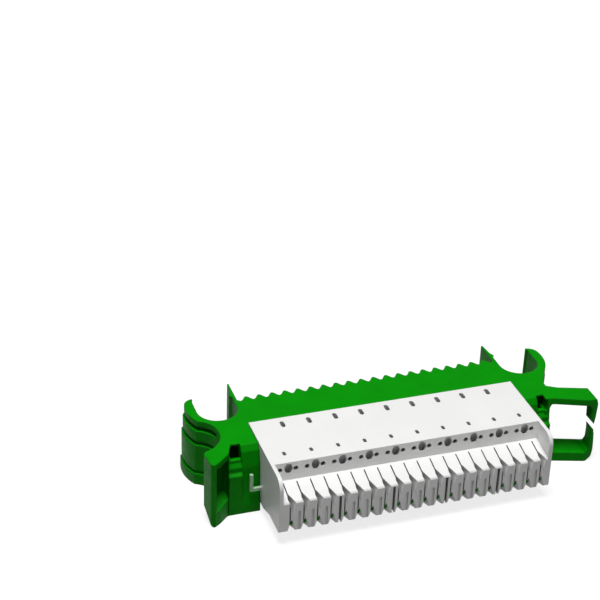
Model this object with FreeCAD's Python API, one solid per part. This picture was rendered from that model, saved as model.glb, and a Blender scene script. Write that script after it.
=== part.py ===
"""Ten-pair punch-down wiring block in its snap-on wire guide.

Millimetres. +X runs along the row of slots, +Y points to the rear, +Z points up.
The origin lies on the underside, at the middle of the bulkhead that the block's rear sits against.
"""
import FreeCAD, Part
import math
import os

V = FreeCAD.Vector

# Driving sizes of the terminal block
PAIRS = 10
SLOT_PITCH = 3.96
END_WALL = 1.1
END_TOOTH = 1.08
HOUSING_DEPTH = 21.65
HOUSING_HEIGHT = 18.9
TEETH_DEPTH = 8.4
TEETH_STEP = 5.5
TEETH_SLOPE = 13.0
TEETH_HEIGHT = 11.6
WALL_ROUND = 3.4

# Slots that take the wires
SLOT_WIDTH = 0.36
SLOT_DEPTH = 7.1
FUNNEL_NARROW = 0.7
FUNNEL_WIDE = 1.85
FUNNEL_LENGTH = 3.6
FUNNEL_HEIGHT = 4.2
FUNNEL_LEAN = 0.85
FUNNEL_LIP = 0.3
FUNNEL_ABOVE = 1.5
FUNNEL_REAR_RISE = 1.0
FUNNEL_REAR_DROP = 1.2
FLANK_DRAFT = 0.15
FLANK_DROP = 0.5
NOTCH_NARROW = 0.8
NOTCH_WIDE = 1.8
NOTCH_LENGTH = 4.0
NOTCH_HEIGHT = 4.0
NOTCH_LEAN = 0.5
NOTCH_POCKET = 2.6
NOTCH_POCKET_TOP = 3.3
BROW = 0.35
CHIN = 0.35
BELLY_RUN = 6.0
BELLY_DROP = 1.9
GROOVE_WIDTH = 0.75
GROOVE_DEPTH = 1.55
GROOVE_DROP = 0.6
GROOVE_OFFSET = 0.68
GROOVE_EVERY = 4
GROOVE_FOOT = 0.3
GROOVE_SLOPE = 0.75
SIGHT_WIDTH = 0.7
SIGHT_RISE = 2.5
SIGHT_DEPTH = 0.3

# Top holes and test openings
REAR_HOLE = 1.7
REAR_HOLE_DEPTH = 5.0
REAR_HOLE_INSET = 3.35
FRONT_HOLE = 1.2
FRONT_HOLE_DEPTH = 1.6
FRONT_HOLE_INSET = 4.35
TEST_HOLE = 1.4
HOLE_SIDES = 12
TEST_SPREAD = 2.3
TEST_DROP = 2.15
TEST_SHIFT = -0.3
KEY_DROP = 2.0
KEY_SHIFT = 0.2
KEY_WIDTH = 1.3
KEY_SHOULDER = 2.3
KEY_HEIGHT = 2.9
KEY_DEPTH = 1.25
KEY_SLOPE = 0.75
BAND_LEAN = 0.5

# Contacts
SHEET = 0.4
FORK_WIDTH = 3.1
FORK_SETBACK = 1.7
FORK_SLIT = 0.3
FORK_SLIT_LENGTH = 4.4
FORK_MOUTH = 1.3
LEG_WIDTH = 1.6
UPPER_FORK_Z = 10.8
LOWER_FORK_Z = 8.2
INNER_LEG_RUN = 12.0
OUTER_LEG_RUN = 15.5
LEAF_TIP = 0.9
POCKET_GAP = 0.05
CHAMBER_GAP = 0.15
CHAMBER_ROOF = 1.1
BASE_PLATE = 1.5
BASE_INSET = 1.1
BASE_SETBACK = 6.6

# Wire guide
ROD_DIAMETER = 12.0
MODULE_HEIGHT = 21.4
PLATE_DROP = 0.15
PLATE = 1.8
WALL = 1.4
FIT_GAP = 0.15
CLIP_OFFSET = 0.7
CLIP_WALL = 1.8
ARM_WALL = 2.7
ARM_REACH = 7.0
ARM_FLARE = 1.3
ARM_KNOB = 0.9
FIN = 0.9
FIN_REACH = 12.0
NUB = 0.7
COMB_REACH = 4.3
COMB_BUMP = 2.0
COMB_HEIGHT = 5.0
WAVE_STEPS = 4
SHELF = 1.4
SHELF_THICK = 1.5
WEB = 1.2
EAR_DEPTH = 13.4
EAR_SPLIT = 5.2
LEDGE = 1.0
LEDGE_LOW = 13.0
LEDGE_HIGH = 15.2
WINDOW_SILL = 17.2
WINDOW_ROOF = 0.6
NECK = 2.7
LEFT_WAIST = -0.3
RIGHT_WAIST = 1.4
PRONG_SPREAD = 9.6
PRONG_REACH = 4.0
PRONG_LIFT = 4.2
LATCH = 0.95
LATCH_REACH = 3.6
LATCH_RISE = 5.6
LATCH_Z = 7.9

# Jumper ring on the right ear
RING_REACH = 15.3
RING_ARM = 2.0
RING_FOOT = 2.9
RING_SIDE = 2.0
RING_TUCK = 1.7
RING_LEAN = 1.7
RING_SLIT = 1.15
RING_SLIT_Z = 12.9
RING_SLIT_ANGLE = 50.0

# Sizes that follow
SLOTS = 2 * PAIRS
TEETH = SLOTS + 1
PAIR_PITCH = 2 * SLOT_PITCH
HALF_BLOCK = PAIRS * SLOT_PITCH + END_TOOTH + 0.12
WALL_FACE = HALF_BLOCK - END_WALL
ROD_R = ROD_DIAMETER / 2
CLIP_X = HALF_BLOCK + CLIP_OFFSET + ROD_R
GUIDE_TOP = MODULE_HEIGHT - PLATE_DROP
PLATE_UNDER = GUIDE_TOP - PLATE
BULKHEAD_REAR = WALL / 2
BULKHEAD_FRONT = -WALL / 2
CLIP_Y = BULKHEAD_REAR + CLIP_WALL + ROD_R
HOUSING_REAR = BULKHEAD_FRONT - FIT_GAP
HOUSING_FRONT = HOUSING_REAR - HOUSING_DEPTH
HOUSING_BOTTOM = MODULE_HEIGHT - HOUSING_HEIGHT
TEETH_FRONT = HOUSING_FRONT - TEETH_DEPTH
BELLY_BOTTOM = HOUSING_BOTTOM + BELLY_DROP
TEETH_TOP_REAR = MODULE_HEIGHT - TEETH_STEP
TEETH_DROP = TEETH_DEPTH * math.tan(math.radians(TEETH_SLOPE))
TEETH_TOP_FRONT = TEETH_TOP_REAR - TEETH_DROP
TEETH_BOTTOM = TEETH_TOP_REAR - TEETH_HEIGHT
EAR_FRONT = BULKHEAD_FRONT - EAR_DEPTH
FAR = 200.0


def block(x0, x1, y0, y1, z0, z1):
    return Part.makeBox(x1 - x0, y1 - y0, z1 - z0, V(x0, y0, z0))


def plan_face(points, z):
    """Flat face at height z. A point is (x, y), and an arc's middle is (x, y, 'mid')."""
    return run_face([(p[0], p[1], z) + tuple(p[2:]) for p in points])


def run_face(points):
    """Face inside a closed run of 3-D points, where a fourth item marks an arc's middle."""
    edges = []
    count = len(points)
    index = 0
    while index < count:
        here = V(*points[index][:3])
        after = points[(index + 1) % count]
        if len(after) == 4:
            end = V(*points[(index + 2) % count][:3])
            edges.append(Part.Arc(here, V(*after[:3]), end).toShape())
            index += 2
        else:
            edges.append(Part.LineSegment(here, V(*after[:3])).toShape())
            index += 1
    return Part.Face(Part.Wire(edges))


def plan_prism(points, z0, z1):
    return plan_face(points, z0).extrude(V(0, 0, z1 - z0))


def side_prism(points, x0, x1):
    """Prism along X from a profile of (y, z) points."""
    return run_face([(x0, p[0], p[1]) + tuple(p[2:]) for p in points]).extrude(V(x1 - x0, 0, 0))


def front_prism(points, y0, y1):
    """Prism along Y from a profile of (x, z) points."""
    return run_face([(p[0], y0, p[1]) + tuple(p[2:]) for p in points]).extrude(V(0, y1 - y0, 0))


def rim(x, y, radius):
    """Corners of a small hole, which has few sides because there are so many of them."""
    corners = []
    for index in range(HOLE_SIDES):
        turn = 2 * math.pi * (index + 0.5) / HOLE_SIDES
        corners.append((x + radius * math.cos(turn), y + radius * math.sin(turn)))
    return corners


def upright_hole(x, y, radius, z0, z1):
    return plan_prism(rim(x, y, radius), z0, z1)


def level_hole(x, z, radius, y0, y1):
    return front_prism(rim(x, z, radius), y0, y1)


def mirrored(points):
    return [(-p[0],) + tuple(p[1:]) for p in points]


def polyhedron(sides):
    """Solid between flat sides, each given by its corners."""
    faces = [Part.Face(Part.makePolygon(list(corners) + [corners[0]])) for corners in sides]
    solid = Part.Solid(Part.makeShell(faces))
    if solid.Volume < 0:
        solid.reverse()
    return solid


def tetrahedron(a, b, c, d):
    return polyhedron(((a, b, c), (a, b, d), (a, c, d), (b, c, d)))


def joined(first, others):
    return first.multiFuse(others).removeSplitter()


def export(name, shape):
    solids = shape.Solids
    if not solids or not shape.isValid():
        raise RuntimeError("bad shape: " + name)
    shape.exportStep("parts/" + name + ".step")
    print(name, len(solids), "solid", round(shape.Volume, 2))


def slot_x(index):
    return (index - (SLOTS - 1) / 2) * SLOT_PITCH


def tooth_x(index):
    return (index - (TEETH - 1) / 2) * SLOT_PITCH


def pair_x(index):
    return (index - (PAIRS - 1) / 2) * PAIR_PITCH


def funnel(x):
    """Mouth at the top of a slot: a steep flank on the right over a scoop that leans sideways."""
    front = TEETH_FRONT - FUNNEL_LIP
    rear = TEETH_FRONT + FUNNEL_LENGTH
    above = TEETH_TOP_FRONT + FUNNEL_ABOVE
    left = V(x - FUNNEL_NARROW, front, above)
    bottom = V(x + FUNNEL_LEAN, front, TEETH_TOP_FRONT - FUNNEL_HEIGHT)
    flank = V(x + FUNNEL_WIDE - FLANK_DRAFT, front, TEETH_TOP_FRONT - FLANK_DROP)
    right = V(x + FUNNEL_WIDE, front, above)
    low = V(x, rear, TEETH_TOP_FRONT - FUNNEL_REAR_DROP)
    high = V(x, rear, above + FUNNEL_REAR_RISE)
    return polyhedron(((left, bottom, flank, right), (left, bottom, low), (left, low, high),
                       (bottom, flank, low), (flank, right, high), (flank, high, low),
                       (left, right, high)))


def notch(x):
    """Open foot of a slot, where the wire leaves it downwards."""
    apex = V(x + NOTCH_LEAN, TEETH_FRONT, TEETH_BOTTOM + NOTCH_HEIGHT)
    rear = V(x + NOTCH_LEAN / 2, TEETH_FRONT + NOTCH_LENGTH, TEETH_BOTTOM)
    along = rear - apex
    corners = []
    for offset in (-NOTCH_NARROW, NOTCH_WIDE):
        lip = V(x + offset, TEETH_FRONT, TEETH_BOTTOM)
        corners.append(lip + (lip - apex) * 1.5 - along * 0.4)
    return tetrahedron(apex - along * 0.5, rear + along * 0.5, corners[0], corners[1])


def slot_cutters():
    cutters = []
    for index in range(SLOTS):
        x = slot_x(index)
        half = SLOT_WIDTH / 2
        cutters.append(block(x - half, x + half, TEETH_FRONT - 1, TEETH_FRONT + SLOT_DEPTH,
                             TEETH_BOTTOM - 1, TEETH_TOP_REAR + 1))
        cutters.append(funnel(x))
        cutters.append(notch(x))
        cutters.append(block(x - half, x + 2 * NOTCH_LEAN - half, TEETH_FRONT - 1,
                             TEETH_FRONT + NOTCH_POCKET, TEETH_BOTTOM - 1,
                             TEETH_BOTTOM + NOTCH_POCKET_TOP))
    return cutters


def fork_pockets():
    cutters = []
    half = FORK_WIDTH / 2 + POCKET_GAP
    thick = SHEET / 2 + POCKET_GAP
    for index in range(SLOTS):
        x = slot_x(index)
        for z in (UPPER_FORK_Z, LOWER_FORK_Z):
            cutters.append(block(x - half, x + half, TEETH_FRONT + FORK_SETBACK - POCKET_GAP,
                                 HOUSING_FRONT + 1, z - thick, z + thick))
    return cutters


def face_grooves():
    """Deep groove in the front of every fourth tooth, and a shallow one by the fork in the others."""
    cutters = []
    foot = TEETH_BOTTOM + GROOVE_FOOT
    for index in range(1, TEETH - 1):
        x = tooth_x(index) + GROOVE_OFFSET
        if index % GROOVE_EVERY == 0:
            half, depth, top = GROOVE_WIDTH / 2, GROOVE_DEPTH, TEETH_TOP_FRONT - GROOVE_DROP
        else:
            half, depth, top = SIGHT_WIDTH / 2, SIGHT_DEPTH, LOWER_FORK_Z + SIGHT_RISE
        cutters.append(side_prism([
            (TEETH_FRONT - 1, top), (TEETH_FRONT + depth, top),
            (TEETH_FRONT + depth, foot - depth * GROOVE_SLOPE), (TEETH_FRONT - 1, foot + GROOVE_SLOPE),
        ], x - half, x + half))
    return cutters


def insertion_comb():
    """Toothed front moulding between two rounded end walls."""
    teeth = side_prism([
        (TEETH_FRONT, TEETH_TOP_FRONT - BROW),
        (TEETH_FRONT + BROW, TEETH_TOP_FRONT + BROW * TEETH_DROP / TEETH_DEPTH),
        (HOUSING_FRONT - BAND_LEAN, TEETH_TOP_REAR),
        (HOUSING_FRONT, TEETH_TOP_REAR),
        (HOUSING_FRONT, TEETH_BOTTOM),
        (TEETH_FRONT + CHIN, TEETH_BOTTOM),
        (TEETH_FRONT, TEETH_BOTTOM + CHIN),
    ], -WALL_FACE, WALL_FACE)
    turn = WALL_ROUND * (1 - math.sqrt(0.5))
    wall_profile = [
        (HOUSING_FRONT, MODULE_HEIGHT),
        (HOUSING_FRONT, TEETH_BOTTOM),
        (TEETH_FRONT + CHIN, TEETH_BOTTOM),
        (TEETH_FRONT, TEETH_BOTTOM + CHIN),
        (TEETH_FRONT, MODULE_HEIGHT - WALL_ROUND),
        (TEETH_FRONT + turn, MODULE_HEIGHT - turn, "mid"),
        (TEETH_FRONT + WALL_ROUND, MODULE_HEIGHT),
    ]
    walls = [side_prism(wall_profile, -HALF_BLOCK, -WALL_FACE),
             side_prism(wall_profile, WALL_FACE, HALF_BLOCK)]
    body = teeth.cut(slot_cutters() + fork_pockets() + face_grooves())
    return joined(body, walls)


def test_openings():
    """Two round test holes and a shouldered key between them, for each pair."""
    cutters = []
    front = HOUSING_FRONT - 1
    for index in range(PAIRS):
        x = pair_x(index) + TEST_SHIFT
        for side in (-1, 1):
            cutters.append(level_hole(x + side * TEST_SPREAD, MODULE_HEIGHT - TEST_DROP,
                                      TEST_HOLE / 2, front, HOUSING_FRONT + WALL + 1))
        x += KEY_SHIFT
        high = MODULE_HEIGHT - KEY_DROP + KEY_HEIGHT / 2
        low = high - KEY_HEIGHT
        shoulder = KEY_HEIGHT / 3
        outline = [
            (x - KEY_WIDTH / 2, low), (x + KEY_WIDTH / 2, low),
            (x + KEY_SHOULDER / 2, low + shoulder), (x + KEY_SHOULDER / 2, high - shoulder),
            (x + KEY_WIDTH / 2, high), (x - KEY_WIDTH / 2, high),
            (x - KEY_SHOULDER / 2, high - shoulder), (x - KEY_SHOULDER / 2, low + shoulder),
        ]
        run = KEY_DEPTH + HOUSING_FRONT - front
        face = run_face([(px, front, pz + KEY_SLOPE * (HOUSING_FRONT - front)) for px, pz in outline])
        cutters.append(face.extrude(V(0, run, -run * KEY_SLOPE)))
    return cutters


def top_holes():
    cutters = []
    top = MODULE_HEIGHT + 1
    for index in range(PAIRS - 1):
        x = pair_x(index) + PAIR_PITCH / 2
        cutters.append(upright_hole(x, HOUSING_REAR - REAR_HOLE_INSET, REAR_HOLE / 2,
                                    MODULE_HEIGHT - REAR_HOLE_DEPTH, top))
    for index in range(PAIRS):
        cutters.append(upright_hole(pair_x(index), HOUSING_FRONT + FRONT_HOLE_INSET,
                                    FRONT_HOLE / 2, MODULE_HEIGHT - FRONT_HOLE_DEPTH, top))
    return cutters


def leg_x(index):
    """Middle of the spring legs of one slot, behind its pair's test hole."""
    pair = index // 2
    side = -1 if index % 2 == 0 else 1
    return pair_x(pair) + TEST_SHIFT + side * TEST_SPREAD


def chambers():
    """Spring chamber of each contact pair, open to the comb in front and to the base below."""
    cutters = []
    front = HOUSING_FRONT + WALL
    rear = front + OUTER_LEG_RUN + SHEET + CHAMBER_GAP
    floor = LOWER_FORK_Z - SHEET / 2
    for index in range(SLOTS):
        x = leg_x(index)
        half = LEG_WIDTH / 2 + CHAMBER_GAP
        cutters.append(block(x - half, x + half, front, rear, floor, MODULE_HEIGHT - CHAMBER_ROOF))
        cutters.append(block(x - half, x + half, HOUSING_FRONT + BASE_SETBACK, rear,
                             HOUSING_BOTTOM - 1, floor))
        wide = FORK_WIDTH / 2 + POCKET_GAP
        middle = slot_x(index)
        cutters.append(block(middle - wide, middle + wide, HOUSING_FRONT - 1, front + WALL,
                             floor, UPPER_FORK_Z + SHEET / 2 + POCKET_GAP))
    return cutters


def latch_arm(side):
    """L-shaped hook of the housing that holds it against the ear's front wall."""
    root = HALF_BLOCK
    tip = HALF_BLOCK + LATCH_REACH
    foot = LATCH_Z
    points = [(root - 0.5, foot), (tip, foot), (tip, foot + LATCH_RISE),
              (tip - LATCH, foot + LATCH_RISE), (tip - LATCH, foot + LATCH), (root - 0.5, foot + LATCH)]
    if side < 0:
        points = mirrored(points)
    return front_prism(points, EAR_FRONT - FIT_GAP - LATCH, EAR_FRONT - FIT_GAP)


def contact_housing():
    """Rear moulding: top face, leaning test band, spring chambers and end latches."""
    belly = [
        (HOUSING_FRONT, BELLY_BOTTOM), (HOUSING_FRONT + BELLY_RUN, HOUSING_BOTTOM),
        (HOUSING_REAR, HOUSING_BOTTOM), (HOUSING_REAR, MODULE_HEIGHT),
        (HOUSING_FRONT, MODULE_HEIGHT),
    ]
    band = [(HOUSING_FRONT - BAND_LEAN, TEETH_TOP_REAR), (HOUSING_FRONT, TEETH_TOP_REAR)]
    body = side_prism(belly + band, -WALL_FACE, WALL_FACE)
    ends = []
    for side in (-1, 1):
        x0, x1 = sorted((side * WALL_FACE, side * HALF_BLOCK))
        ends.append(side_prism(belly, x0, x1))
        ends.append(latch_arm(side))
    body = joined(body, ends)
    floor = block(-HALF_BLOCK + BASE_INSET, HALF_BLOCK - BASE_INSET,
                  HOUSING_FRONT + BASE_SETBACK, HOUSING_REAR - BASE_INSET,
                  HOUSING_BOTTOM - 1, HOUSING_BOTTOM + BASE_PLATE)
    return body.cut([floor] + chambers() + top_holes() + test_openings()).removeSplitter()


def base_plate():
    """Inset floor of the housing, with a rib under each lower contact."""
    inset = BASE_INSET + POCKET_GAP
    front = HOUSING_FRONT + BASE_SETBACK + POCKET_GAP
    plate = block(-HALF_BLOCK + inset, HALF_BLOCK - inset, front, HOUSING_REAR - inset,
                  HOUSING_BOTTOM, HOUSING_BOTTOM + BASE_PLATE - POCKET_GAP)
    ribs = []
    half = LEG_WIDTH / 2
    for index in range(SLOTS):
        x = leg_x(index)
        ribs.append(block(x - half, x + half, front, HOUSING_FRONT + WALL + INNER_LEG_RUN,
                          HOUSING_BOTTOM + WALL / 2, LOWER_FORK_Z - SHEET / 2))
    return joined(plate, ribs)


def strip_outline(points, thickness):
    """Outline of a bent sheet seen edge on, with mitred corners, from its centre line."""
    half = thickness / 2
    normals = []
    for (y0, z0), (y1, z1) in zip(points, points[1:]):
        length = math.hypot(y1 - y0, z1 - z0)
        normals.append((-(z1 - z0) / length, (y1 - y0) / length))
    left = []
    right = []
    for index, (y, z) in enumerate(points):
        before = normals[max(index - 1, 0)]
        after = normals[min(index, len(normals) - 1)]
        my, mz = before[0] + after[0], before[1] + after[1]
        scale = half * 2 / (my * my + mz * mz)
        left.append((y + my * scale, z + mz * scale))
        right.append((y - my * scale, z - mz * scale))
    return left + right[::-1]


def fork_plate(index, z, rear):
    """Level fork that cuts through the wire's insulation, narrowing to the leg behind the comb."""
    x = slot_x(index)
    half = FORK_WIDTH / 2
    front = TEETH_FRONT + FORK_SETBACK
    slit = FORK_SLIT / 2
    leg = leg_x(index)
    leg_half = LEG_WIDTH / 2
    shoulder = HOUSING_FRONT + WALL
    points = [
        (x - half, front), (x - FORK_MOUTH / 2, front),
        (x - slit, front + FORK_MOUTH), (x - slit, front + FORK_SLIT_LENGTH),
        (x + slit, front + FORK_SLIT_LENGTH), (x + slit, front + FORK_MOUTH),
        (x + FORK_MOUTH / 2, front), (x + half, front),
        (x + half, HOUSING_FRONT), (leg + leg_half, shoulder), (leg + leg_half, rear),
        (leg - leg_half, rear), (leg - leg_half, shoulder), (x - half, HOUSING_FRONT),
    ]
    return plan_prism(points, z - SHEET / 2, z + SHEET / 2)


def contact(index, fork_z, run, tip_turn):
    """One contact: fork, tail, upright leg and the leaf that comes forward to the test hole."""
    turn = HOUSING_FRONT + WALL + 1.0
    back = HOUSING_FRONT + WALL + run
    touch = HOUSING_FRONT + WALL + 2.0
    meet_z = MODULE_HEIGHT - TEST_DROP + tip_turn * SHEET / 2
    leaf_z = meet_z + (0 if tip_turn > 0 else -SHEET)
    tip = HOUSING_FRONT + WALL + 0.4
    bend = 2 * SHEET
    path = [(turn, fork_z), (back - bend, fork_z), (back, fork_z + bend),
            (back, leaf_z - bend), (back - bend, leaf_z), (touch + 1.0, meet_z), (touch, meet_z),
            (tip, meet_z + tip_turn * LEAF_TIP / 2)]
    x = leg_x(index)
    leg = side_prism(strip_outline(path, SHEET), x - LEG_WIDTH / 2, x + LEG_WIDTH / 2)
    return joined(fork_plate(index, fork_z, turn + 1.0), [leg])


def contact_pair(pair, upper):
    """Both contacts of one pair: the jumper side is the upper fork, the line side the lower."""
    solids = []
    for index in (2 * pair, 2 * pair + 1):
        if upper:
            solids.append(contact(index, UPPER_FORK_Z, INNER_LEG_RUN, -1))
        else:
            solids.append(contact(index, LOWER_FORK_Z, OUTER_LEG_RUN, 1))
    return Part.makeCompound(solids)


def comb_edge():
    """Wavy rear edge, from left to right, with a bump behind each slot."""
    points = []
    middle = CLIP_Y + COMB_REACH - COMB_BUMP / 2
    for index in range(SLOTS):
        for step in range(-WAVE_STEPS, WAVE_STEPS + 1):
            if index == SLOTS - 1 or step < WAVE_STEPS:
                turn = math.pi * step / WAVE_STEPS
                points.append((slot_x(index) + turn / (2 * math.pi) * SLOT_PITCH,
                               middle + math.cos(turn) * COMB_BUMP / 2))
    return points


def arm_outline(side, grow):
    """Plan of a rod clip's arm, drawn on the right, from the rod's side round the tip to the neck."""
    waist = LEFT_WAIST if side < 0 else RIGHT_WAIST
    outer = ROD_R + ARM_WALL + grow
    face = CLIP_X + ROD_R
    tip = CLIP_Y + ARM_REACH
    neck = CLIP_X + NECK

    def bearing(degrees, bulge):
        turn = math.radians(degrees)
        radius = outer + bulge
        return (CLIP_X + radius * math.cos(turn), CLIP_Y + radius * math.sin(turn))

    return [
        (face, CLIP_Y), (face, tip - 1.2), (face - NUB * 0.6, tip - 0.4), (face - NUB * 0.4, tip),
        (face + ARM_WALL * 0.6, tip - 0.8, "mid"), bearing(27, ARM_KNOB), bearing(3, 0) + ("mid",),
        bearing(-33, -0.3), bearing(-65, waist) + ("mid",), (neck, BULKHEAD_FRONT - 3.2),
    ]


def arm_layers(side):
    """Arm of the rod clip with the rounded ribs on its outside, stacked from the underside."""
    flare = ARM_FLARE if side < 0 else ARM_FLARE / 2
    levels = [(0.0, 3.6, flare), (3.6, 4.6, flare - 0.8), (4.6, 13.4, flare * 0.7),
              (13.4, 14.6, -0.2), (14.6, 18.0, flare * 0.4), (18.0, PLATE_UNDER, -1.0),
              (PLATE_UNDER, GUIDE_TOP, 0.1)]
    corner = math.sqrt(0.5) * ROD_R
    back = CLIP_X + NECK - WALL
    inner = [(CLIP_X + NECK, BULKHEAD_FRONT - 5.0), (back, BULKHEAD_FRONT - 5.0),
             (back, BULKHEAD_FRONT), (CLIP_X, BULKHEAD_REAR), (CLIP_X, CLIP_Y - ROD_R),
             (CLIP_X + corner, CLIP_Y - corner, "mid")]
    return [side_plan(side, arm_outline(side, grow) + inner, low, high)
            for low, high, grow in levels]


def side_block(side, x0, x1, y0, y1, z0, z1):
    """Block on the right, or its mirror image on the left."""
    if side < 0:
        x0, x1 = -x1, -x0
    return block(x0, x1, y0, y1, z0, z1)


def side_plan(side, points, z0, z1):
    return plan_prism(mirrored(points) if side < 0 else points, z0, z1)


def front_span(side):
    """Where the stepped part of an ear's front wall starts and ends, which is nearer on the right."""
    tuck = 0 if side < 0 else RING_TUCK
    return HALF_BLOCK + FIT_GAP + EAR_SPLIT - tuck * 0.8, CLIP_X + NECK - tuck


def ear(side):
    """Top, walls and stepped front of one ear, apart from the clip's arm."""
    inner = HALF_BLOCK + FIT_GAP
    split, neck = front_span(side)
    edge = CLIP_X + NECK
    corner = math.sqrt(0.5) * ROD_R
    side_edge = CLIP_X - ROD_R
    plate = arm_outline(side, 0.1) + [
        (edge, EAR_FRONT + 4.0), (edge - 1.0, EAR_FRONT + 4.4), (split, EAR_FRONT + 4.2),
        (split - 0.3, EAR_FRONT + 3.6), (inner, EAR_FRONT + 3.6), (inner, BULKHEAD_REAR),
        (side_edge - FIN, BULKHEAD_REAR), (side_edge - FIN, CLIP_Y), (side_edge, CLIP_Y),
        (CLIP_X - corner, CLIP_Y - corner, "mid"), (CLIP_X, CLIP_Y - ROD_R),
        (CLIP_X + corner, CLIP_Y - corner, "mid"),
    ]
    stepped = [
        (EAR_FRONT, 0), (EAR_FRONT, LEDGE_LOW), (EAR_FRONT + LEDGE, LEDGE_LOW + 0.8),
        (EAR_FRONT + LEDGE, LEDGE_HIGH), (EAR_FRONT + 2 * LEDGE, LEDGE_HIGH + 1.2),
        (EAR_FRONT + 2 * LEDGE, WINDOW_SILL), (EAR_FRONT + 2 * LEDGE + WALL, WINDOW_SILL),
        (EAR_FRONT + 2 * LEDGE + WALL, LEDGE_HIGH), (EAR_FRONT + WALL, LEDGE_LOW - 0.6),
        (EAR_FRONT + WALL, 0),
    ]
    sloped = [
        (EAR_FRONT, 0), (EAR_FRONT, 3.0), (EAR_FRONT + 0.7, 7.0), (EAR_FRONT + 1.2, 15.0),
        (EAR_FRONT + 2.2, 19.5), (EAR_FRONT + 3.4, GUIDE_TOP), (EAR_FRONT + 3.4 + WALL, GUIDE_TOP),
        (EAR_FRONT + 1.2 + WALL, 14.6), (EAR_FRONT + WALL, 2.6), (EAR_FRONT + WALL, 0),
    ]
    fronts = []
    for profile, x0, x1 in ((stepped, split, neck), (sloped, inner, split)):
        low, high = sorted((side * x0, side * x1))
        fronts.append(side_prism(profile, low, high))
    cheek = EAR_FRONT + 2 * LEDGE + WALL / 2
    solids = [side_plan(side, plate, PLATE_UNDER, GUIDE_TOP)] + fronts
    solids.append(side_block(side, inner, inner + WALL, EAR_FRONT + WALL, BULKHEAD_REAR, 0, 3.0))
    solids.append(side_block(side, inner, inner + WALL, EAR_FRONT + 4.0, BULKHEAD_REAR,
                             0, PLATE_UNDER))
    solids.append(side_block(side, neck - WALL, neck, cheek, BULKHEAD_FRONT, 0, PLATE_UNDER))
    divider = [
        (EAR_FRONT + 1.7, 13.0), (EAR_FRONT + 2.7, 18.0), (EAR_FRONT + 4.4, GUIDE_TOP - WALL / 2),
        (EAR_FRONT + 7.5, GUIDE_TOP - WALL / 2), (EAR_FRONT + 7.5, 14.0),
    ]
    low, high = sorted((side * (split - WALL), side * split))
    solids.append(side_prism(divider, low, high))
    return solids


def window_cut(side):
    """Window above the stepped front, which leaves only a thin roof along the plate's edge."""
    split, neck = front_span(side)
    return side_block(side, split, neck - WALL / 2, EAR_FRONT - 1, EAR_FRONT + 7.0,
                      WINDOW_SILL, GUIDE_TOP - WINDOW_ROOF)


def clip_wall(side):
    """Inner half of the rod clip: the wall round the rod and the fin that steadies it."""
    corner = math.sqrt(0.5) * ROD_R
    face = CLIP_X - ROD_R
    ring = [(CLIP_X, CLIP_Y - ROD_R), (CLIP_X - corner, CLIP_Y - corner, "mid"), (face, CLIP_Y),
            (face - FIN, CLIP_Y), (face - FIN, BULKHEAD_REAR - WALL / 2),
            (CLIP_X, BULKHEAD_REAR - WALL / 2)]
    nub = CLIP_Y + ROD_R
    fin = [(face - FIN, CLIP_Y - 1.0), (face, CLIP_Y - 1.0), (face, nub - 1.4), (face + NUB, nub),
           (face, nub + 1.4), (face - FIN * 0.5, CLIP_Y + FIN_REACH),
           (face - FIN, CLIP_Y + FIN_REACH)]
    return [side_plan(side, ring, 0, GUIDE_TOP), side_plan(side, fin, 0, GUIDE_TOP)]


def prong():
    """Upright horn on the left ear that keeps the cable beside the block."""
    neck = CLIP_X + NECK
    tip_x = CLIP_X + PRONG_SPREAD
    points = [
        (neck - WALL, BULKHEAD_FRONT - 3.0), (neck, BULKHEAD_FRONT - 4.0),
        (neck + 1.9, BULKHEAD_FRONT - 7.9, "mid"), (tip_x - 0.7, EAR_FRONT + 2.9),
        (tip_x, EAR_FRONT + 1.5), (tip_x - 0.6, EAR_FRONT - PRONG_REACH + 1.0),
        (tip_x - 1.4, EAR_FRONT - PRONG_REACH, "mid"), (tip_x - 2.3, EAR_FRONT - PRONG_REACH + 0.3),
        (tip_x - 3.6, EAR_FRONT - 2.8), (tip_x - 6.6, EAR_FRONT), (neck - WALL, EAR_FRONT + 4.2),
    ]
    foot = tetrahedron(V(3.4 - tip_x, EAR_FRONT - 2.0, 0), V(-neck, EAR_FRONT, 0),
                       V(0.7 - neck, EAR_FRONT + 3.1, 0), V(-neck - 1.2, EAR_FRONT + 1.0, 7.0))
    horn = side_plan(-1, points, 0, GUIDE_TOP).fuse(foot)
    toe = V(-tip_x + 1.3, EAR_FRONT - PRONG_REACH, 0)
    heel = V(-neck, EAR_FRONT, 0)
    lift = V(-tip_x, EAR_FRONT + 1.5, PRONG_LIFT)
    middle = (toe + heel) * 0.5
    high = middle + (lift - middle) * 3
    wedge_foot = tetrahedron(toe + (toe - heel) * 2, heel + (heel - toe) * 2, high,
                             V(high.x, high.y, -5))
    recess = side_plan(-1, [
        (tip_x - 1.9, EAR_FRONT - 2.9), (tip_x - 1.3, EAR_FRONT + 1.0), (neck + 1.4, EAR_FRONT + 3.6),
        (neck, EAR_FRONT + 2.0), (neck, EAR_FRONT - 5.0), (tip_x - 2.9, EAR_FRONT - 5.0),
    ], 0, PLATE_UNDER)
    above_floor = side_prism([
        (EAR_FRONT - 6.0, 3.6), (EAR_FRONT + 4.0, 7.0), (EAR_FRONT + 4.0, GUIDE_TOP),
        (EAR_FRONT - 6.0, GUIDE_TOP),
    ], -FAR, 0)
    return horn.cut([wedge_foot, recess.common(above_floor)])


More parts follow.
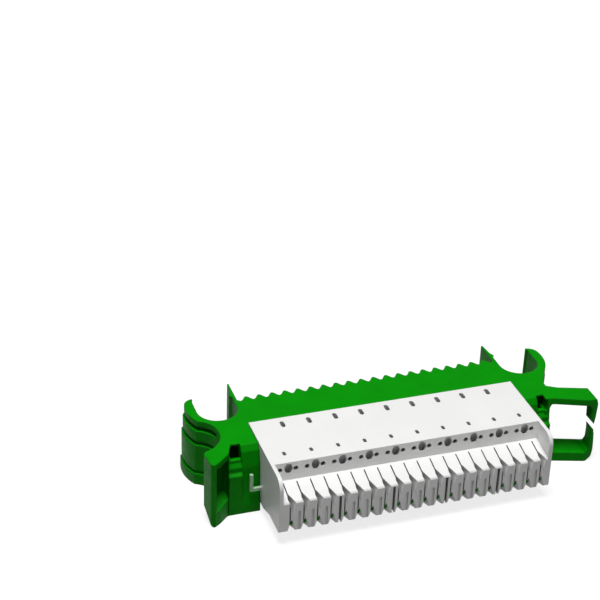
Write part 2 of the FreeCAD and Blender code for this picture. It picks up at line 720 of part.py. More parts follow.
def jumper_ring():
    """Loop for the jumper wires: a closed profile, split by a slanting slit, on a swept plan."""
    edge = CLIP_X + NECK
    neck = edge - RING_TUCK
    root = neck - WALL
    out = CLIP_X + RING_REACH
    inner = out - RING_SIDE
    pinch = 1.3
    ring = front_prism([
        (root, 0), (out - 2.7, 0), (out - 1.2, 1.2), (out - 0.4, 3.4), (out - 0.5, 6.1),
        (out - 0.9, 9.1), (out - pinch, 11.2), (out - pinch, 12.5), (out - 0.8, 15.5),
        (out - 0.2, 19.0), (out - 0.5, 19.8), (out - 1.1, GUIDE_TOP), (root, GUIDE_TOP),
    ], -FAR, 0)
    ceiling = GUIDE_TOP - RING_ARM
    hole = front_prism([
        (neck, RING_FOOT + 2.2), (neck + 0.3, RING_FOOT + 0.9), (neck + 1.2, RING_FOOT),
        (inner - 1.2, RING_FOOT), (inner - 0.2, RING_FOOT + 1.3),
        (inner - 0.1, 7.0), (inner - 0.2, 10.0), (inner - 0.4, 13.5), (inner - 0.3, 15.9),
        (inner - 0.2, ceiling - 1.0), (inner - 0.9, ceiling), (neck + 0.6, ceiling),
        (neck, ceiling - 1.2),
    ], -FAR, 0)
    slant = math.radians(RING_SLIT_ANGLE)
    run = V(math.cos(slant), 0, -math.sin(slant)) * 5
    across = V(math.sin(slant), 0, math.cos(slant)) * (RING_SLIT / 2)
    centre = V(out - 2.2, -FAR, RING_SLIT_Z)
    corners = [centre - run - across, centre + run - across, centre + run + across, centre - run + across]
    slit = Part.Face(Part.makePolygon(corners + [corners[0]])).extrude(V(0, FAR, 0))
    rear = BULKHEAD_FRONT - 5.0
    top = [(root, rear + 0.1), (edge, rear), (edge + 3.0, rear - 1.8), (out - 1.0, rear - 4.6),
           (out - 0.1, rear - 6.2), (out - 0.1, rear - 10.2), (out - 0.9, rear - 10.9),
           (out - 3.4, rear - 10.8), (edge, rear - 7.1), (root, rear - 6.4)]
    lean = [0, 0, 0, 0, -0.4, -0.5, -0.5, -0.8, -RING_LEAN, -RING_LEAN]
    low = [(x, y + shift) for (x, y), shift in zip(top, lean)]
    wires = []
    for points, z in ((low, -0.01), (top, MODULE_HEIGHT)):
        wires.append(Part.makePolygon([V(x, y, z) for x, y in points + points[:1]]))
    plan = Part.makeLoft(wires, True, True)
    hollow = side_prism([
        (rear, ceiling), (rear - 6.2, ceiling), (rear - 7.4, ceiling - 2.2), (rear - 8.0, 13.0),
        (rear - 8.5, 11.0), (rear - 8.2, 6.8), (rear - 6.8, 4.2), (rear - 4.4, RING_FOOT),
        (rear, RING_FOOT),
    ], edge + 5.0, out + 1.0)
    return ring.cut([hole, slit, hollow]).common(plan)


def middle_plate():
    """Plate behind the block, the comb along its rear edge, bulkhead, webs and support shelves."""
    side = CLIP_X - ROD_R - FIN / 2
    edge = CLIP_Y + COMB_REACH - COMB_BUMP / 2
    front = [(side, edge), (side, BULKHEAD_FRONT), (-side, BULKHEAD_FRONT), (-side, edge)]
    root = [(side, edge), (side, CLIP_Y), (-side, CLIP_Y), (-side, edge)]
    solids = [plan_prism(comb_edge() + front, PLATE_UNDER, GUIDE_TOP)]
    solids.append(plan_prism(comb_edge() + root, GUIDE_TOP - COMB_HEIGHT, PLATE_UNDER))
    solids.append(block(-side, side, BULKHEAD_FRONT, BULKHEAD_REAR, 0, PLATE_UNDER))
    for x in (-2 * PAIR_PITCH, 0, 2 * PAIR_PITCH):
        solids.append(block(x - WEB / 2, x + WEB / 2, BULKHEAD_REAR, CLIP_Y + 0.5,
                            GUIDE_TOP - 2 * COMB_HEIGHT, PLATE_UNDER))
    inner = HALF_BLOCK + FIT_GAP
    for sign in (-1, 1):
        solids.append(side_block(sign, HALF_BLOCK - SHELF, inner, EAR_FRONT + 2 * WALL,
                                 BULKHEAD_FRONT, HOUSING_BOTTOM - SHELF_THICK, HOUSING_BOTTOM))
    return solids


def wire_guide():
    solids = middle_plate()
    for side in (-1, 1):
        solids += ear(side)
        solids += arm_layers(side)
        solids += clip_wall(side)
    solids.append(prong())
    solids.append(jumper_ring())
    guide = joined(solids[0], solids[1:])
    return guide.cut([window_cut(-1), window_cut(1)])


os.makedirs("parts", exist_ok=True)
export("wire_guide", wire_guide())
export("contact_housing", contact_housing())
export("insertion_comb", insertion_comb())
export("base_plate", base_plate())
for pair in range(PAIRS):
    export("jumper_contacts_pair_%02d" % (pair + 1), contact_pair(pair, True))
    export("line_contacts_pair_%02d" % (pair + 1), contact_pair(pair, False))
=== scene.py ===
"""Looks of a ten-pair punch-down wiring block that sits in its snap-on wire guide.

The moulded pieces come from the frame. This file gives them soft moulded edges, plastic and
metal finishes with painted shade in the slots and holes and on the guide's upright faces,
narrow probe slots in place of the round holes, the green finger tips between
the teeth, a pale floor, studio light and the camera.
"""
import math

import bmesh
import bpy
from bpy.props import FloatProperty, FloatVectorProperty, PointerProperty
from mathutils import Matrix, Vector


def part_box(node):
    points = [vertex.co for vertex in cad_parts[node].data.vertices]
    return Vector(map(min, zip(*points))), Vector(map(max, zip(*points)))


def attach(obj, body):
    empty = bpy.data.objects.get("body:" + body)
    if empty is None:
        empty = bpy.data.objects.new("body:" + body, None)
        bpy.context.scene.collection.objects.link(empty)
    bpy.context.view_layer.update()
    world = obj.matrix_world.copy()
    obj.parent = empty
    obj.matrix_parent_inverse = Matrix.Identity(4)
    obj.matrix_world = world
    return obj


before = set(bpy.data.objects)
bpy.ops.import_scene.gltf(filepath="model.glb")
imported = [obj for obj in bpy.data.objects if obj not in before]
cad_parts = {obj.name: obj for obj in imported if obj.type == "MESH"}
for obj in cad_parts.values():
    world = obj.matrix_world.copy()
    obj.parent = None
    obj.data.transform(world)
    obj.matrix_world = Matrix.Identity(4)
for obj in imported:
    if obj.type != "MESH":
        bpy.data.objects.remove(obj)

bl_info = {
    "name": "Punch-Down Wiring Block",
    "version": (1, 0, 0),
    "blender": (4, 5, 0),
    "location": "View3D > Sidebar > Wiring Block",
    "description": "Finishes, soft edges and studio for a wiring block in its wire guide",
    "category": "Object",
}

# Packed pieces that this file finishes
GUIDE = "wire_guide"
HOUSING = "contact_housing"
COMB = "insertion_comb"
BASE = "base_plate"

# Rows of holes and slots, in metres
PAIRS = 10
PAIR_PITCH = 0.00792
REAR_ROW = 0.00335
FRONT_ROW = 0.0173

# Pockets at the foot of the slots, from the front and the foot of the comb
POCKET_DEPTH = 0.00257
POCKET_TOP = 0.00328

# Share of its depth that a finger tip keeps at its foot, and of its height where the taper ends
FINGER_TAPER = 0.5
FINGER_SHOULDER = 0.4

# Pegs that fill the round probe holes and cut the slots: width, length and depth
REAR_SLEEVE = (0.0020, 0.0020, 0.0054)
FRONT_SLEEVE = (0.0015, 0.0015, 0.0020)
PEG_SIDES = 20
PEG_ABOVE = 0.0005
SKIN_WELD = 0.000002

# Openness at which a recess gets the full painted shade, and at which it counts as an open face
RECESS_SHADED = 0.25
RECESS_OPEN = 0.85

# Upward share of the normal on upright and on level faces, between which the painted shade of the
# guide's upright faces fades to its lit green
FACE_UPRIGHT = 0.15
FACE_LEVEL = 0.85

# Range of a noise that gets the whole change of shade
NOISE_LOW = 0.3
NOISE_HIGH = 0.7

# Sockets of the mix node that hold colours, and the spacing of nodes in the editor
MIX_LOW = 6
MIX_HIGH = 7
MIX_RESULT = 2
NODE_SPACING = 260

# Low wall round the floor
WALL_SIDES = 32
WALL_REACH = 5.0
WALL_HEIGHT = 1.4

# White glow of the floor, which grows between two distances from the block
GLOW_NEAR = 0.79
GLOW_FAR = 0.98
GLOW_START = 0.2
GLOW_END = 0.8

# Lamp and camera
LAMP_PLACE = (-0.07, -0.10, 0.90)
LAMP_SIZE = 0.42
SENSOR_WIDTH = 36.0
WHITE = (1.0, 1.0, 1.0, 1.0)


# Settings


class GuideSettings(bpy.types.PropertyGroup):
    """Green wire guide moulding."""

    colour: FloatVectorProperty(
        name="Guide Colour",
        description="Colour of the green moulding",
        subtype="COLOR",
        size=4,
        min=0.0,
        max=1.0,
        default=(0.0, 0.265, 0.0, 1.0),
    )
    # Painted shade: the upright faces get this deeper green as a shaded copy of the guide's colour,
    # in place of the shade the lamp above leaves on them
    shaded_side_colour: FloatVectorProperty(
        name="Guide Shaded Side Colour",
        description="Deeper green of the upright faces, which the mould leaves coarser",
        subtype="COLOR",
        size=4,
        min=0.0,
        max=1.0,
        default=(0.0, 0.21, 0.0, 1.0),
    )
    roughness: FloatProperty(
        name="Guide Roughness",
        description="How matt the green moulding is",
        subtype="FACTOR",
        min=0.0,
        max=1.0,
        default=0.5,
    )
    edge: FloatProperty(
        name="Guide Edge",
        description="Width of the soft edge that the mould leaves",
        subtype="DISTANCE",
        unit="LENGTH",
        min=0.0,
        default=0.0008,
    )


class FingerSettings(bpy.types.PropertyGroup):
    """Green finger tips of the guide that show between the teeth."""

    size: FloatVectorProperty(
        name="Finger Size",
        description="Width, depth and height of a finger tip",
        subtype="XYZ",
        unit="LENGTH",
        size=3,
        default=(0.00092, 0.0020, 0.0024),
    )
    shift: FloatProperty(
        name="Finger Shift",
        description="How far each finger tip stands to the right of its slot's middle",
        subtype="DISTANCE",
        unit="LENGTH",
        default=0.00032,
    )


class HousingSettings(bpy.types.PropertyGroup):
    """Pale housing and insertion comb."""

    colour: FloatVectorProperty(
        name="Housing Colour",
        description="Colour of the pale mouldings",
        subtype="COLOR",
        size=4,
        min=0.0,
        max=1.0,
        default=(0.83, 0.83, 0.82, 1.0),
    )
    roughness: FloatProperty(
        name="Housing Roughness",
        description="How matt the pale mouldings are",
        subtype="FACTOR",
        min=0.0,
        max=1.0,
        default=0.46,
    )
    hook_colour: FloatVectorProperty(
        name="Hook Colour",
        description="Colour of the thin latch hooks, where the green behind shows through",
        subtype="COLOR",
        size=4,
        min=0.0,
        max=1.0,
        default=(0.34, 0.56, 0.34, 1.0),
    )
    hook_start: FloatProperty(
        name="Hook Start",
        description="Distance from the block's middle at which the latch hooks begin",
        subtype="DISTANCE",
        unit="LENGTH",
        min=0.0,
        default=0.0412,
    )
    # Painted shade: the pale plastic turns to this colour deep in its slots and holes, where shade
    # gathers
    recess_shade_colour: FloatVectorProperty(
        name="Recess Shade Colour",
        description="Greyer colour that the plastic shows deep in its slots and holes",
        subtype="COLOR",
        size=4,
        min=0.0,
        max=1.0,
        default=(0.40, 0.40, 0.40, 1.0),
    )
    recess_reach: FloatProperty(
        name="Recess Reach",
        description="How far apart two walls may stand and still shade each other",
        subtype="DISTANCE",
        unit="LENGTH",
        min=0.0,
        default=0.002,
    )
    edge: FloatProperty(
        name="Housing Edge",
        description="Width of the soft edge on the housing",
        subtype="DISTANCE",
        unit="LENGTH",
        min=0.0,
        default=0.0002,
    )


class ProbeSlotSettings(bpy.types.PropertyGroup):
    """Narrow probe slots in the top of the housing."""

    rear_slot: FloatVectorProperty(
        name="Rear Probe Slot",
        description="Width, length and depth of the rear probe slots",
        subtype="XYZ",
        unit="LENGTH",
        size=3,
        default=(0.0013, 0.0029, 0.0030),
    )
    front_slot: FloatVectorProperty(
        name="Front Probe Slot",
        description="Width, length and depth of the front probe slots",
        subtype="XYZ",
        unit="LENGTH",
        size=3,
        default=(0.0010, 0.0018, 0.0015),
    )


class ContactSettings(bpy.types.PropertyGroup):
    """Tinned contacts."""

    colour: FloatVectorProperty(
        name="Contact Colour",
        description="Colour of the tinned sheet",
        subtype="COLOR",
        size=4,
        min=0.0,
        max=1.0,
        default=(0.72, 0.71, 0.68, 1.0),
    )
    edge: FloatProperty(
        name="Contact Edge",
        description="Width of the rolled edge on the stamped sheet",
        subtype="DISTANCE",
        unit="LENGTH",
        min=0.0,
        default=0.00006,
    )


class StudioSettings(bpy.types.PropertyGroup):
    """Floor, lamps and camera."""

    floor_colour: FloatVectorProperty(
        name="Floor Colour",
        description="Colour of the floor where the block's shadow falls",
        subtype="COLOR",
        size=4,
        min=0.0,
        max=1.0,
        default=(0.26, 0.26, 0.26, 1.0),
    )
    top_light: FloatProperty(
        name="Top Light",
        description="Power of the large lamp above",
        unit="POWER",
        min=0.0,
        default=8.75,
    )
    fill_light: FloatProperty(
        name="Fill Light",
        description="Strength of the even light from all round",
        min=0.0,
        default=0.09,
    )
    camera_place: FloatVectorProperty(
        name="Camera Place",
        description="Where the camera stands",
        subtype="TRANSLATION",
        unit="LENGTH",
        size=3,
        default=(-0.154911, -0.371441, 0.283218),
    )
    azimuth: FloatProperty(
        name="Azimuth",
        description="Turn of the camera round the block",
        subtype="ANGLE",
        unit="ROTATION",
        default=math.radians(-19.1057),
    )
    elevation: FloatProperty(
        name="Elevation",
        description="Height of the camera above the level",
        subtype="ANGLE",
        unit="ROTATION",
        default=math.radians(29.7052),
    )
    roll: FloatProperty(
        name="Roll",
        description="Tilt of the camera about its own line of sight",
        subtype="ANGLE",
        unit="ROTATION",
        default=math.radians(1.9575),
    )
    lens: FloatProperty(
        name="Lens",
        description="Focal length in millimetres, on a sensor 36 mm wide",
        min=1.0,
        default=98.34,
    )


# Help for materials


class Finish:
    """A new node material whose nodes are added one at a time."""

    def __init__(self, name):
        self.material = bpy.data.materials.new(name)
        self.material.use_nodes = True
        self.tree = self.material.node_tree
        self.shader = self.tree.nodes["Principled BSDF"]
        self.place = self.add("ShaderNodeTexCoord").outputs["Object"]

    def add(self, kind):
        """New node, set out to the left of those before it."""
        node = self.tree.nodes.new(kind)
        node.location = (-NODE_SPACING * len(self.tree.nodes), 0)
        return node

    def link(self, output, socket):
        """Joins the output of one node to a socket of another."""
        self.tree.links.new(output, socket)

    def noise(self, scale, detail=3.0, roughness=0.5):
        """Cloudy value with this many waves to the metre."""
        node = self.add("ShaderNodeTexNoise")
        node.inputs["Scale"].default_value = scale
        node.inputs["Detail"].default_value = detail
        node.inputs["Roughness"].default_value = roughness
        self.link(self.place, node.inputs["Vector"])
        return node.outputs["Fac"]

    def spread(self, value, low, high):
        """Maps the middle of a noise to the range from low to high."""
        node = self.add("ShaderNodeMapRange")
        node.inputs["From Min"].default_value = NOISE_LOW
        node.inputs["From Max"].default_value = NOISE_HIGH
        node.inputs["To Min"].default_value = low
        node.inputs["To Max"].default_value = high
        self.link(value, node.inputs["Value"])
        return node.outputs["Result"]

    def shades(self, factor, low, high):
        """Mixes two colours, each a plain colour or the output of another node."""
        node = self.add("ShaderNodeMix")
        node.data_type = "RGBA"
        self.link(factor, node.inputs[0])
        for index, colour in ((MIX_LOW, low), (MIX_HIGH, high)):
            socket = node.inputs[index]
            if isinstance(colour, bpy.types.NodeSocket):
                self.link(colour, socket)
            else:
                socket.default_value = colour
        return node.outputs[MIX_RESULT]

    def recess(self, reach):
        """Mask of the painted shade in slots and holes: nought deep in them, one on open faces."""
        node = self.add("ShaderNodeAmbientOcclusion")
        node.samples = 8
        node.only_local = True
        node.inputs["Distance"].default_value = reach
        spread = self.add("ShaderNodeMapRange")
        spread.inputs["From Min"].default_value = RECESS_SHADED
        spread.inputs["From Max"].default_value = RECESS_OPEN
        self.link(node.outputs["AO"], spread.inputs["Value"])
        return spread.outputs["Result"]

    def painted_shade_facing(self):
        """Mask of the painted shade by facing: one on level faces, nought on upright ones."""
        parts = self.add("ShaderNodeSeparateXYZ")
        self.link(self.add("ShaderNodeNewGeometry").outputs["Normal"], parts.inputs[0])
        upward = self.add("ShaderNodeMapRange")
        upward.inputs["From Min"].default_value = FACE_UPRIGHT
        upward.inputs["From Max"].default_value = FACE_LEVEL
        self.link(parts.outputs["Z"], upward.inputs["Value"])
        return upward.outputs["Result"]

    def beyond(self, distance):
        """One where the surface is further than this from the block's middle, to left or right."""
        parts = self.add("ShaderNodeSeparateXYZ")
        self.link(self.place, parts.inputs[0])
        far = self.add("ShaderNodeMath")
        far.operation = "ABSOLUTE"
        self.link(parts.outputs["X"], far.inputs[0])
        past = self.add("ShaderNodeMath")
        past.operation = "GREATER_THAN"
        past.inputs[1].default_value = distance
        self.link(far.outputs[0], past.inputs[0])
        return past.outputs[0]

    def rounded(self, radius):
        """Normal that rolls over the edges, as on a moulded or stamped piece."""
        node = self.add("ShaderNodeBevel")
        node.samples = 6
        node.inputs["Radius"].default_value = radius
        return node.outputs["Normal"]

    def bump(self, height, strength, distance, below=None):
        """Normal that follows a height, on top of the normal below it."""
        node = self.add("ShaderNodeBump")
        node.inputs["Strength"].default_value = strength
        node.inputs["Distance"].default_value = distance
        self.link(height, node.inputs["Height"])
        if below is not None:
            self.link(below, node.inputs["Normal"])
        return node.outputs["Normal"]


def scaled(colour, factor):
    """Colour made darker or lighter by a factor."""
    return tuple(min(1.0, part * factor) for part in colour[:3]) + (1.0,)


def guide_plastic(settings):
    """Green nylon with a fine spark-eroded grain, slow changes of shade, and painted shade on its
    upright faces.
    """
    finish = Finish("guide_plastic_green")
    shader = finish.shader
    shade = finish.spread(finish.noise(scale=90.0), low=0.0, high=1.0)
    level = finish.shades(shade, scaled(settings.colour, 0.93), scaled(settings.colour, 1.06))
    # Painted shade: upright faces take the shaded copy of the green, level faces the lit one
    upright = finish.shades(shade, scaled(settings.shaded_side_colour, 0.9),
                            scaled(settings.shaded_side_colour, 1.1))
    green = finish.shades(finish.painted_shade_facing(), upright, level)
    finish.link(green, shader.inputs["Base Color"])
    gloss = finish.spread(finish.noise(scale=420.0, detail=5.0),
                          low=settings.roughness - 0.06, high=settings.roughness + 0.07)
    finish.link(gloss, shader.inputs["Roughness"])
    waves = finish.bump(finish.noise(scale=260.0), strength=0.25, distance=0.00004,
                        below=finish.rounded(settings.edge))
    grain = finish.bump(finish.noise(scale=5200.0, detail=4.0), strength=0.30, distance=0.00002,
                        below=waves)
    finish.link(grain, shader.inputs["Normal"])
    shader.inputs["IOR"].default_value = 1.5
    shader.inputs["Specular IOR Level"].default_value = 0.08
    return finish.material


def housing_plastic(settings):
    """Pale polycarbonate, nearly smooth, with faint flow marks and painted shade deep in its slots
    and holes.
    """
    finish = Finish("housing_plastic_pale")
    shader = finish.shader
    shade = finish.spread(finish.noise(scale=70.0), low=0.0, high=1.0)
    pale = finish.shades(shade, scaled(settings.colour, 0.975), scaled(settings.colour, 1.015))
    tinted = finish.shades(finish.beyond(settings.hook_start), pale, settings.hook_colour)
    # Painted shade: the colour darkens deep in slots and holes, by how closely the walls stand
    shaded_pale = finish.shades(finish.recess(settings.recess_reach), settings.recess_shade_colour, tinted)
    finish.link(shaded_pale, shader.inputs["Base Color"])
    gloss = finish.spread(finish.noise(scale=500.0, detail=5.0),
                          low=settings.roughness - 0.05, high=settings.roughness + 0.06)
    finish.link(gloss, shader.inputs["Roughness"])
    waves = finish.bump(finish.noise(scale=220.0), strength=0.2, distance=0.00003,
                        below=finish.rounded(settings.edge))
    grain = finish.bump(finish.noise(scale=6000.0, detail=4.0), strength=0.22, distance=0.000015,
                        below=waves)
    finish.link(grain, shader.inputs["Normal"])
    shader.inputs["IOR"].default_value = 1.52
    return finish.material


def contact_metal(settings):
    """Tin plate over spring bronze, with the fine lines of rolled sheet."""
    finish = Finish("contact_metal_tinned")
    shader = finish.shader
    shade = finish.spread(finish.noise(scale=900.0), low=0.0, high=1.0)
    tin = finish.shades(shade, scaled(settings.colour, 0.86), scaled(settings.colour, 1.04))
    finish.link(tin, shader.inputs["Base Color"])
    gloss = finish.spread(finish.noise(scale=2600.0, detail=4.0), low=0.22, high=0.38)
    finish.link(gloss, shader.inputs["Roughness"])
    grain = finish.bump(finish.noise(scale=9000.0, detail=4.0), strength=0.2, distance=0.00001,
                        below=finish.rounded(settings.edge))
    finish.link(grain, shader.inputs["Normal"])
    shader.inputs["Metallic"].default_value = 1.0
    return finish.material


# Help for shapes


def dress(piece, material):
    """Gives a piece one material only."""
    piece.data.materials.clear()
    piece.data.materials.append(material)


def finger_tips(size, shift):
    """Green tips that show at the foot of each slot, against the back of its pocket."""
    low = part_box(COMB)[0]
    width, depth, height = size
    back = low.y + POCKET_DEPTH
    foot = low.z + POCKET_TOP - height
    shoulder = foot + height * FINGER_SHOULDER
    form = bmesh.new()
    for index in range(2 * PAIRS):
        x = (index - (2 * PAIRS - 1) / 2) * PAIR_PITCH / 2 + shift
        corners = []
        for z, thick in ((foot, FINGER_TAPER), (shoulder, 1.0), (foot + height, 1.0)):
            front = back - depth * thick
            corners.append([form.verts.new((x + side * width / 2, y, z))
                            for side, y in ((-1, front), (1, front), (1, back), (-1, back))])
        form.faces.new(list(reversed(corners[0])))
        form.faces.new(corners[-1])
        for lower, upper in zip(corners, corners[1:]):
            for near in range(4):
                far = (near + 1) % 4
                form.faces.new((lower[near], lower[far], upper[far], upper[near]))
    mesh = bpy.data.meshes.new("guide_fingers")
    form.to_mesh(mesh)
    form.free()
    return bpy.data.objects.new("guide_fingers", mesh)


def pegs(name, above, rear_size, front_size):
    """Hidden shape with an oval peg in each probe hole of the rear and the front row."""
    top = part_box(HOUSING)[1].z
    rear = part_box(HOUSING)[1].y
    form = bmesh.new()
    for index in range(PAIRS - 1):
        x = (index - (PAIRS - 2) / 2) * PAIR_PITCH
        oval_peg(form, Vector((x, rear - REAR_ROW, top)), above, rear_size)
    for index in range(PAIRS):
        x = (index - (PAIRS - 1) / 2) * PAIR_PITCH
        oval_peg(form, Vector((x, rear - FRONT_ROW, top)), above, front_size)
    mesh = bpy.data.meshes.new(name)
    form.to_mesh(mesh)
    form.free()
    shape = bpy.data.objects.new(name, mesh)
    bpy.context.scene.collection.objects.link(shape)
    shape.hide_render = True
    return shape


def oval_peg(form, place, above, size):
    """Peg with straight sides and round ends."""
    width, length, depth = size
    rings = []
    for height in (above, -depth):
        ring = []
        for index in range(PEG_SIDES):
            turn = 2 * math.pi * (index + 0.5) / PEG_SIDES
            straight = math.copysign((length - width) / 2, math.sin(turn))
            across = math.cos(turn) * width / 2
            along = math.sin(turn) * width / 2 + straight
            ring.append(form.verts.new(place + Vector((across, along, height))))
        rings.append(ring)
    upper, lower = rings
    form.faces.new(upper)
    form.faces.new(list(reversed(lower)))
    for index in range(PEG_SIDES):
        after = (index + 1) % PEG_SIDES
        form.faces.new((lower[index], lower[after], upper[after], upper[index]))


# Operators


class WIRING_OT_guide(bpy.types.Operator):
    """Finish the green wire guide"""

    bl_idname = "wiring.guide"
    bl_label = "Wire Guide"

    def execute(self, context):
        settings = context.scene.wiring_guide
        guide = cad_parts[GUIDE]
        dress(guide, guide_plastic(settings))
        return {"FINISHED"}


class WIRING_OT_finger_tips(bpy.types.Operator):
    """Add the green finger tips at the foot of the slots, in the guide's own plastic"""

    bl_idname = "wiring.finger_tips"
    bl_label = "Finger Tips"

    def execute(self, context):
        settings = context.scene.wiring_fingers
        fingers = finger_tips(settings.size, settings.shift)
        dress(fingers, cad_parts[GUIDE].data.materials[0])
        context.scene.collection.objects.link(fingers)
        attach(fingers, "root")
        return {"FINISHED"}


class WIRING_OT_housing(bpy.types.Operator):
    """Finish the pale contact housing, its base plate and the insertion comb"""

    bl_idname = "wiring.housing"
    bl_label = "Housing and Comb"

    def execute(self, context):
        settings = context.scene.wiring_housing
        plastic = housing_plastic(settings)
        for name in (HOUSING, COMB, BASE):
            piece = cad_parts[name]
            dress(piece, plastic)
        return {"FINISHED"}


class WIRING_OT_probe_slots(bpy.types.Operator):
    """Turn the round probe holes in the top of the housing into narrow slots"""

    bl_idname = "wiring.probe_slots"
    bl_label = "Probe Slots"

    def execute(self, context):
        settings = context.scene.wiring_probe_slots
        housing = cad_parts[HOUSING]
        weld = housing.modifiers.new("closed_skin", "WELD")
        weld.merge_threshold = SKIN_WELD
        fill = housing.modifiers.new("probe_sleeves", "BOOLEAN")
        fill.operation = "UNION"
        fill.object = pegs("probe_sleeves", 0.0, REAR_SLEEVE, FRONT_SLEEVE)
        cut = housing.modifiers.new("probe_slots", "BOOLEAN")
        cut.operation = "DIFFERENCE"
        cut.object = pegs("probe_slots", PEG_ABOVE, settings.rear_slot, settings.front_slot)
        return {"FINISHED"}


class WIRING_OT_contacts(bpy.types.Operator):
    """Finish the tinned contact pairs"""

    bl_idname = "wiring.contacts"
    bl_label = "Contacts"

    def execute(self, context):
        settings = context.scene.wiring_contacts
        metal = contact_metal(settings)
        for name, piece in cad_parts.items():
            if "contacts" in name:
                dress(piece, metal)
        return {"FINISHED"}


class WIRING_OT_studio(bpy.types.Operator):
    """Set up the floor, the lamps and the camera"""

    bl_idname = "wiring.studio"
    bl_label = "Studio"

    def execute(self, context):
        settings = context.scene.wiring_studio
        floor_sheet(settings)
        lamps(context.scene, settings)
        camera(context.scene, settings)
        context.scene.view_settings.view_transform = "Standard"
        return {"FINISHED"}


def floor_sheet(settings):
    """Pale floor with a low wall far off, white to the camera where no shadow falls."""
    mesh = bpy.data.meshes.new("studio_floor")
    corners = []
    for height in (0.0, WALL_HEIGHT):
        for index in range(WALL_SIDES):
            turn = 2 * math.pi * index / WALL_SIDES
            corners.append((WALL_REACH * math.cos(turn), WALL_REACH * math.sin(turn), height))
    sides = [tuple(range(WALL_SIDES))]
    for index in range(WALL_SIDES):
        after = (index + 1) % WALL_SIDES
        sides.append((after, index, index + WALL_SIDES, after + WALL_SIDES))
    mesh.from_pydata(corners, [], sides)
    floor = bpy.data.objects.new("studio_floor", mesh)
    bpy.context.scene.collection.objects.link(floor)
    finish = Finish("studio_floor_pale")
    away = finish.add("ShaderNodeVectorMath")
    away.operation = "LENGTH"
    finish.link(finish.place, away.inputs[0])
    white = finish.add("ShaderNodeMapRange")
    white.inputs["From Min"].default_value = GLOW_START
    white.inputs["From Max"].default_value = GLOW_END
    white.inputs["To Min"].default_value = GLOW_NEAR
    white.inputs["To Max"].default_value = GLOW_FAR
    finish.link(away.outputs["Value"], white.inputs["Value"])
    glow = finish.add("ShaderNodeMath")
    glow.operation = "MULTIPLY"
    finish.link(seen_rays(finish), glow.inputs[0])
    finish.link(white.outputs["Result"], glow.inputs[1])
    finish.link(glow.outputs[0], finish.shader.inputs["Emission Strength"])
    finish.shader.inputs["Emission Color"].default_value = WHITE
    finish.shader.inputs["Base Color"].default_value = settings.floor_colour
    finish.shader.inputs["Roughness"].default_value = 0.9
    finish.shader.inputs["Specular IOR Level"].default_value = 0.0
    mesh.materials.append(finish.material)


def seen_rays(finish):
    """One for the rays that show the white background, nought for the rays that light the block."""
    rays = finish.add("ShaderNodeLightPath")
    seen = rays.outputs["Is Camera Ray"]
    for name in ("Is Glossy Ray", "Is Transmission Ray"):
        most = finish.add("ShaderNodeMath")
        most.operation = "MAXIMUM"
        finish.link(seen, most.inputs[0])
        finish.link(rays.outputs[name], most.inputs[1])
        seen = most.outputs[0]
    return seen


def lamps(scene, settings):
    """Large square lamp above and to the left, and an even white sky."""
    world = bpy.data.worlds.new("studio_world")
    world.use_nodes = True
    sky = world.node_tree.nodes["Background"]
    sky.inputs["Color"].default_value = WHITE
    sky.inputs["Strength"].default_value = settings.fill_light
    scene.world = world
    light = bpy.data.lights.new("top_light", "AREA")
    light.shape = "RECTANGLE"
    light.size = LAMP_SIZE
    light.size_y = LAMP_SIZE
    light.energy = settings.top_light
    lamp = bpy.data.objects.new("top_light", light)
    scene.collection.objects.link(lamp)
    lamp.location = LAMP_PLACE
    aim = Vector((0.0, 0.0, 0.0)) - lamp.location
    lamp.rotation_euler = aim.to_track_quat("-Z", "Y").to_euler()


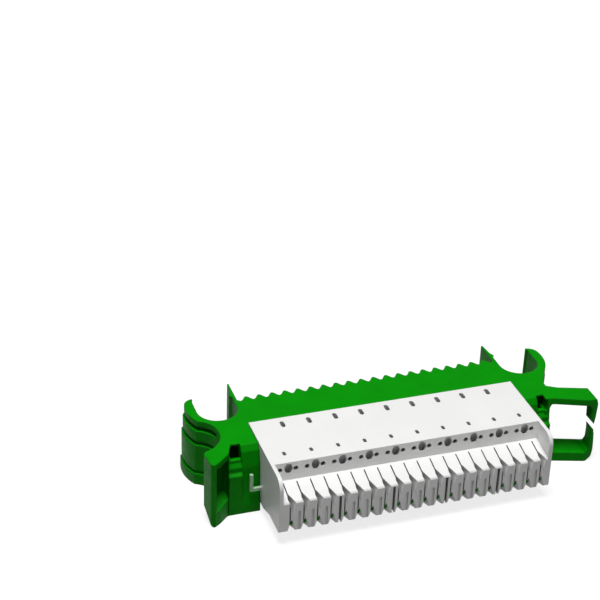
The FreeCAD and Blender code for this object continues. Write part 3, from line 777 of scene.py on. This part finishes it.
def camera(scene, settings):
    """Camera that stands and looks as in the photograph."""
    lens = bpy.data.cameras.new("photo_camera")
    lens.lens = settings.lens
    lens.sensor_width = SENSOR_WIDTH
    lens.clip_start = 0.01
    lens.clip_end = 20.0
    viewer = bpy.data.objects.new("photo_camera", lens)
    scene.collection.objects.link(viewer)
    turn = Matrix.Rotation(settings.azimuth, 4, "Z")
    tip = Matrix.Rotation(math.radians(90.0) - settings.elevation, 4, "X")
    roll = Matrix.Rotation(settings.roll, 4, "Z")
    viewer.matrix_world = Matrix.Translation(settings.camera_place) @ turn @ tip @ roll
    scene.camera = viewer


# Sidebar


class WIRING_PT_sidebar(bpy.types.Panel):
    """Settings and steps of the wiring block"""

    bl_label = "Wiring Block"
    bl_space_type = "VIEW_3D"
    bl_region_type = "UI"
    bl_category = "Wiring Block"

    def draw(self, context):
        for group, step in STEPS:
            box = self.layout.box()
            settings = getattr(context.scene, group)
            for name in settings.__annotations__:
                box.prop(settings, name)
            box.operator(step.bl_idname)


GROUPS = {
    "wiring_guide": GuideSettings,
    "wiring_fingers": FingerSettings,
    "wiring_housing": HousingSettings,
    "wiring_probe_slots": ProbeSlotSettings,
    "wiring_contacts": ContactSettings,
    "wiring_studio": StudioSettings,
}
STEPS = [
    ("wiring_guide", WIRING_OT_guide),
    ("wiring_fingers", WIRING_OT_finger_tips),
    ("wiring_housing", WIRING_OT_housing),
    ("wiring_probe_slots", WIRING_OT_probe_slots),
    ("wiring_contacts", WIRING_OT_contacts),
    ("wiring_studio", WIRING_OT_studio),
]


def register():
    for name, group in GROUPS.items():
        bpy.utils.register_class(group)
        setattr(bpy.types.Scene, name, PointerProperty(type=group))
    for _, step in STEPS:
        bpy.utils.register_class(step)
    bpy.utils.register_class(WIRING_PT_sidebar)


def unregister():
    bpy.utils.unregister_class(WIRING_PT_sidebar)
    for _, step in reversed(STEPS):
        bpy.utils.unregister_class(step)
    for name, group in reversed(list(GROUPS.items())):
        delattr(bpy.types.Scene, name)
        bpy.utils.unregister_class(group)


def main():
    register()
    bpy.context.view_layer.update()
    bpy.ops.wiring.guide()
    bpy.ops.wiring.finger_tips()
    bpy.ops.wiring.housing()
    bpy.ops.wiring.probe_slots()
    bpy.ops.wiring.contacts()
    bpy.ops.wiring.studio()


if __name__ == "__main__":
    main()
